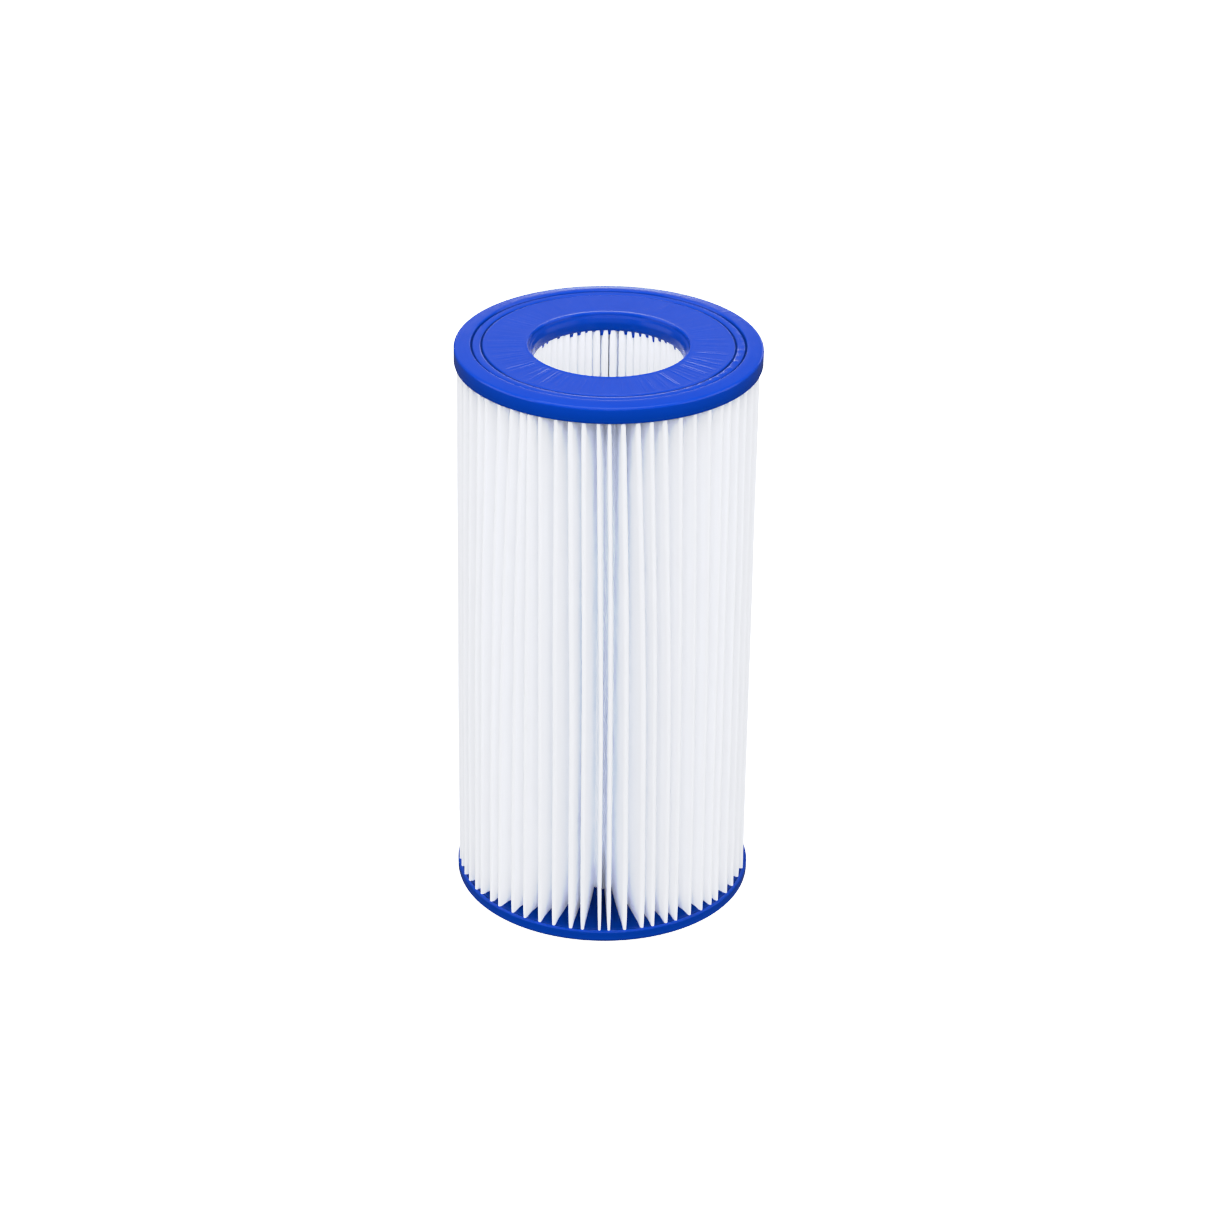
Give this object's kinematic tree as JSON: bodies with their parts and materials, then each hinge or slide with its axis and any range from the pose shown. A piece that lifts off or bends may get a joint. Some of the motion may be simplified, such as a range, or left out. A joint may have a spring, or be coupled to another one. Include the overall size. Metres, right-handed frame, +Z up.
{
  "type": "filter cartridge",
  "caption": "Pleated cylindrical filter cartridge: white folded fabric set between round blue end caps, each with a central bore and a raised band between fine ring grooves.",
  "frame": {"origin": "centre of the bottom end cap's outside face, on the cartridge's axis", "axes": "+Z up the axis from the bottom cap to the top cap; +Y towards the pleat that holds the strip's seam, -Y the side seen first; +X to the right seen from -Y"},
  "size_m": [0.103, 0.103, 0.203],
  "materials": {
    "blue_cap": "satin soft vinyl",
    "white_media": "bonded fibre fabric",
    "glue": "hot-melt glue"
  },
  "bodies": {
    "root": {"top_end_cap": "blue_cap", "bottom_end_cap": "blue_cap", "pleated_media": "white_media", "seam_bead": "glue"}
  },
  "joints": []
}
